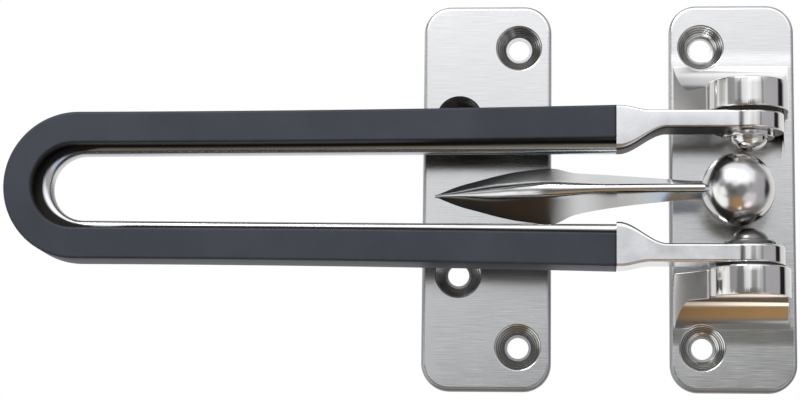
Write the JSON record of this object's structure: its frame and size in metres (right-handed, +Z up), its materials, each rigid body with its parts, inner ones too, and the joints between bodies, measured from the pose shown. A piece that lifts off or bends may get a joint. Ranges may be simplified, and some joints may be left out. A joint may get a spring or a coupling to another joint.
{
  "type": "swing bar door guard",
  "caption": "Swing-bar door guard: a rubber-sleeved steel U bar hinged on a frame plate folds over a ball that a pointed arm carries from the door plate.",
  "frame": {"origin": "on the back of the frame plate, straight behind the middle of the hinge axis", "axes": "+X along the folded bar, from its tip towards the hinge; +Y into the door frame; +Z up along the hinge axis"},
  "size_m": [0.1548, 0.019, 0.0772],
  "materials": {
    "satin_steel": "satin, brushed across",
    "polished_steel": "polished",
    "black_rubber": "matte",
    "black_nylon": "matte",
    "screw_steel": "plain"
  },
  "bodies": {
    "frame_side": {"frame_plate": "satin_steel", "upper_hinge_pin": "polished_steel", "lower_hinge_pin": "polished_steel", "upper_washer": "black_nylon", "lower_washer": "black_nylon"},
    "bar": {"swing_bar": "polished_steel", "rubber_sleeve": "black_rubber"},
    "door_side": {"door_plate": "satin_steel", "ball_arm": "polished_steel", "guard_ball": "polished_steel", "arm_screws": "screw_steel"}
  },
  "joints": [
    {"name": "bar_swing", "type": "hinge", "parent": "frame_side", "child": "bar", "pos_m": [0, -0.0112, 0], "axis": [0, 0, 1], "range_deg": [-3, 180]},
    {"name": "door_slide", "type": "slide", "parent": "frame_side", "child": "door_side", "axis": [-1, 0, 0], "range_m": [0, 0.02]}
  ]
}
